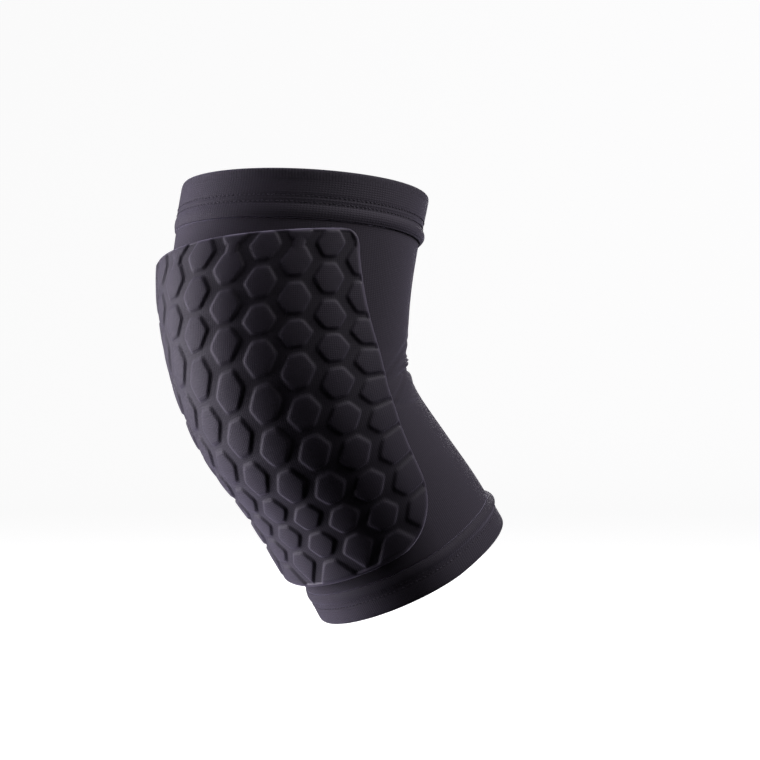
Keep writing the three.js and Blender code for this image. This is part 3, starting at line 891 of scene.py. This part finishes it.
class KNEEPAD_OT_pad(bpy.types.Operator):
    """Honeycomb pad over the front of the knee"""

    bl_idname = "knee_pad.pad"
    bl_label = "Pad"

    def execute(self, context):
        shape = PadShape(context)
        columns, rows, coarse = 318, 294, 6
        levels = np.linspace(0, shape.length, rows + 1)
        x = np.linspace(-1, 1, columns + 1)[None, :] * shape.half_width(levels)[:, None]
        y = np.repeat(levels[:, None], columns + 1, 1)
        from_edge = shape.within_edge(y, shape.edge_distance(x, y))
        height, raised = shape.relief(x, y, from_edge)
        top = shape.place(x, levels, height)
        under = shape.place(x, levels, np.zeros_like(x))
        pad = self.build(context, top, under, np.stack([x, y], -1), coarse)
        self.weld_edge_highlight(context, pad, from_edge)
        # The raised attribute darkens the cover's colour in the grooves: painted shade
        attribute = pad.data.attributes.new("raised", "FLOAT", "POINT")
        values = np.ones(len(pad.data.vertices), np.float32)
        values[: raised.size] = raised.ravel()
        attribute.data.foreach_set("value", values)
        finish_piece(pad, "hex_pad")
        return {"FINISHED"}

    def weld_edge_highlight(self, context, pad, from_edge):
        """Gives the band along the edge, where cover and sleeve are bonded, its smoother face and a
        lighter colour, a painted highlight.
        """
        looks = context.scene.knee_pad_looks
        # Painted highlight: the band's colour is lighter than the pad's cover
        pad.data.materials.append(
            knit_material(
                "welded_edge_highlight", looks.weld, 1.25 * MM, 0.08 * MM, roughness=0.5, sheen=0.2
            )
        )
        corners = [from_edge[:-1, :-1], from_edge[:-1, 1:], from_edge[1:, 1:], from_edge[1:, :-1]]
        middle = sum(corners).ravel() / 4
        index = np.zeros(len(pad.data.polygons), np.int32)
        index[: middle.size] = middle < context.scene.knee_pad_cells.weld_highlight_width
        # The faces of the wall under the edge follow those of the top
        wall_faces = 2 * sum(from_edge.shape) - 4
        index[middle.size : middle.size + wall_faces] = 1
        pad.data.polygons.foreach_set("material_index", index)

    def build(self, context, top, under, flat, coarse):
        """Closed mesh of the pad's face, its edge and a coarse underside."""
        rows, columns = top.shape[0] - 1, top.shape[1] - 1
        count = (rows + 1) * (columns + 1)
        index = np.arange(count).reshape(rows + 1, columns + 1)
        faces = np.stack([index[:-1, :-1], index[:-1, 1:], index[1:, 1:], index[1:, :-1]], -1)
        faces = faces.reshape(-1, 4).tolist()

        # The underside keeps only the border's points and every few points inside
        border = [(0, j) for j in range(columns)]
        border += [(i, columns) for i in range(rows)]
        border += [(rows, j) for j in range(columns, 0, -1)]
        border += [(i, 0) for i in range(rows, 0, -1)]
        inside = itertools.product(range(0, rows + 1, coarse), range(0, columns + 1, coarse))
        kept = {}
        for place in itertools.chain(border, inside):
            kept.setdefault(place, count + len(kept))
        added = tuple(np.array(list(kept)).T)
        points = np.concatenate([top.reshape(-1, 3), under[added]])
        flat = np.concatenate([flat.reshape(-1, 2), flat[added]])
        for here, after in zip(border, border[1:] + border[:1]):
            faces.append([index[after], index[here], kept[here], kept[after]])
        for i in range(0, rows, coarse):
            for j in range(0, columns, coarse):
                faces.append(self.under_face(kept, i, j, rows, columns, coarse))
        corners = [corner for face in faces for corner in face]
        colour = context.scene.knee_pad_looks.pad
        # The cover's colour is darkened in the grooves as painted shade, from the raised attribute
        material = knit_material(
            "pad_cover", colour, 1.25 * MM, 0.22 * MM, roughness=0.66, sheen=0.16, raised="raised"
        )
        return mesh_object("honeycomb_pad", points, faces, flat[corners], material)

    def under_face(self, kept, i, j, rows, columns, coarse):
        """One coarse face of the underside, with every border point that it meets."""
        i_end, j_end = i + coarse, j + coarse
        loop = [(i, j)]
        loop += [(i + k, j) for k in range(1, coarse)] if j == 0 else []
        loop += [(i_end, j)]
        loop += [(i_end, j + k) for k in range(1, coarse)] if i_end == rows else []
        loop += [(i_end, j_end)]
        loop += [(i_end - k, j_end) for k in range(1, coarse)] if j_end == columns else []
        loop += [(i, j_end)]
        loop += [(i, j_end - k) for k in range(1, coarse)] if i == 0 else []
        return [kept[place] for place in loop]


def stitch_tree():
    """Geometry Nodes: a stitch every pitch along the input's edges."""
    tree = bpy.data.node_groups.new("Stitch Rows", "GeometryNodeTree")
    panel = tree.interface
    panel.new_socket("Geometry", in_out="INPUT", socket_type="NodeSocketGeometry")
    for name in ("Pitch", "Stitch Length", "Thread Radius"):
        socket = panel.new_socket(name, in_out="INPUT", socket_type="NodeSocketFloat")
        socket.subtype = "DISTANCE"
    panel.new_socket("Thread", in_out="INPUT", socket_type="NodeSocketMaterial")
    panel.new_socket("Geometry", in_out="OUTPUT", socket_type="NodeSocketGeometry")

    given = tree.nodes.new("NodeGroupInput").outputs
    curve = add_node(tree, "GeometryNodeMeshToCurve", {"Mesh": given["Geometry"]})
    inputs = {"Curve": curve.outputs["Curve"], "Length": given["Pitch"]}
    resampled = add_node(tree, "GeometryNodeResampleCurve", inputs, mode="LENGTH")

    # A stitch is a small ball, drawn out along the curve
    ball = add_node(tree, "GeometryNodeMeshUVSphere", {"Segments": 8, "Rings": 6, "Radius": 1.0})
    inputs = {0: given["Stitch Length"], 1: 0.5}
    half = add_node(tree, "ShaderNodeMath", inputs, operation="MULTIPLY")
    radius = given["Thread Radius"]
    size = add_node(
        tree, "ShaderNodeCombineXYZ", {"X": radius, "Y": radius, "Z": half.outputs["Value"]}
    )
    tangent = add_node(tree, "GeometryNodeInputTangent")
    inputs = {"Vector": tangent.outputs["Tangent"]}
    turn = add_node(tree, "FunctionNodeAlignRotationToVector", inputs, axis="Z")
    inputs = {
        "Points": resampled.outputs["Curve"],
        "Instance": ball.outputs["Mesh"],
        "Rotation": turn.outputs["Rotation"],
        "Scale": size.outputs["Vector"],
    }
    placed = add_node(tree, "GeometryNodeInstanceOnPoints", inputs)
    inputs = {"Geometry": placed.outputs["Instances"]}
    realized = add_node(tree, "GeometryNodeRealizeInstances", inputs)
    inputs = {"Geometry": realized.outputs["Geometry"], "Material": given["Thread"]}
    coloured = add_node(tree, "GeometryNodeSetMaterial", inputs)
    add_node(tree, "NodeGroupOutput", {"Geometry": coloured.outputs["Geometry"]})
    return tree


class KNEEPAD_OT_stitches(bpy.types.Operator):
    """Cover stitches on both cuffs"""

    bl_idname = "knee_pad.stitches"
    bl_label = "Stitches"

    def execute(self, context):
        leg = leg_of(context)
        knit = context.scene.knee_pad_knit
        colour = context.scene.knee_pad_looks.thread
        material = knit_material("thread", colour, 0.5 * MM, 0.1 * MM, roughness=0.55, sheen=0.15)
        tree = stitch_tree()
        around = 360
        sunk = 0.05 * MM
        theta = np.linspace(0, 2 * np.pi, around, endpoint=False)
        level = np.full(around, knit.cuff_proud - sunk)
        for name, direction, height in (
            ("thigh_stitches", -1, knit.top_cuff_height),
            ("shin_stitches", 1, knit.bottom_cuff_height),
        ):
            rim = leg.top_rim(theta) if direction < 0 else leg.bottom_rim(theta)
            rings = [
                leg.skin(theta, rim + direction * row * height, level, creased=False)
                for row in STITCH_ROWS
            ]
            self.add_rows(context, name, rings, tree, material)
        return {"FINISHED"}

    def add_rows(self, context, name, rings, tree, material):
        """Piece of all the stitches along closed rings of points."""
        edges = []
        for ring in rings:
            start, count = len(edges), len(ring)
            edges += [(start + i, start + (i + 1) % count) for i in range(count)]
        mesh = bpy.data.meshes.new(name + "_path")
        mesh.from_pydata(np.concatenate(rings).tolist(), edges, [])
        path = bpy.data.objects.new(name + "_path", mesh)
        context.scene.collection.objects.link(path)
        modifier = path.modifiers.new("stitches", "NODES")
        modifier.node_group = tree
        thread = context.scene.knee_pad_thread
        values = {
            "Pitch": thread.pitch,
            "Stitch Length": thread.stitch,
            "Thread Radius": thread.thread,
            "Thread": material,
        }
        for item in tree.interface.items_tree:
            if item.name in values and item.in_out == "INPUT":
                modifier[item.identifier] = values[item.name]
        evaluated = path.evaluated_get(context.evaluated_depsgraph_get())
        result = bpy.data.meshes.new_from_object(evaluated)
        result.name = name
        bpy.data.objects.remove(path)
        if "cloth" not in result.uv_layers:
            result.uv_layers.new(name="cloth")
        result.polygons.foreach_set("use_smooth", np.ones(len(result.polygons), bool))
        made = bpy.data.objects.new(name, result)
        context.scene.collection.objects.link(made)
        finish_piece(made, None)


class KNEEPAD_PT_panel(bpy.types.Panel):
    """Lists the parts of the knee pad"""

    bl_label = "Knee Pad"
    bl_idname = "KNEEPAD_PT_panel"
    bl_space_type = "VIEW_3D"
    bl_region_type = "UI"
    bl_category = "Knee Pad"

    def draw(self, context):
        for operator in OPERATORS:
            self.layout.operator(operator.bl_idname)
        for group in GROUPS:
            settings = getattr(context.scene, group)
            box = self.layout.box()
            for key in settings.bl_rna.properties.keys():
                if key not in ("rna_type", "name"):
                    box.prop(settings, key)


GROUPS = {
    "knee_pad_form": KneePadForm,
    "knee_pad_knit": KneePadKnit,
    "knee_pad_cells": KneePadCells,
    "knee_pad_thread": KneePadThread,
    "knee_pad_looks": KneePadLooks,
    "knee_pad_stage": KneePadStage,
}
OPERATORS = (
    KNEEPAD_OT_stage,
    KNEEPAD_OT_sleeve,
    KNEEPAD_OT_cuffs,
    KNEEPAD_OT_pad,
    KNEEPAD_OT_stitches,
)


def register():
    """Registers the add-on's classes and its settings."""
    for cls in (*GROUPS.values(), *OPERATORS, KNEEPAD_PT_panel):
        bpy.utils.register_class(cls)
    for name, group in GROUPS.items():
        setattr(bpy.types.Scene, name, bpy.props.PointerProperty(type=group))


def unregister():
    """Removes what register added."""
    for name in GROUPS:
        delattr(bpy.types.Scene, name)
    for cls in (KNEEPAD_PT_panel, *reversed(OPERATORS), *reversed(list(GROUPS.values()))):
        bpy.utils.unregister_class(cls)


def main():
    register()
    bpy.ops.knee_pad.stage()
    bpy.ops.knee_pad.sleeve()
    bpy.ops.knee_pad.cuffs()
    bpy.ops.knee_pad.pad()
    bpy.ops.knee_pad.stitches()


if __name__ == "__main__":
    main()
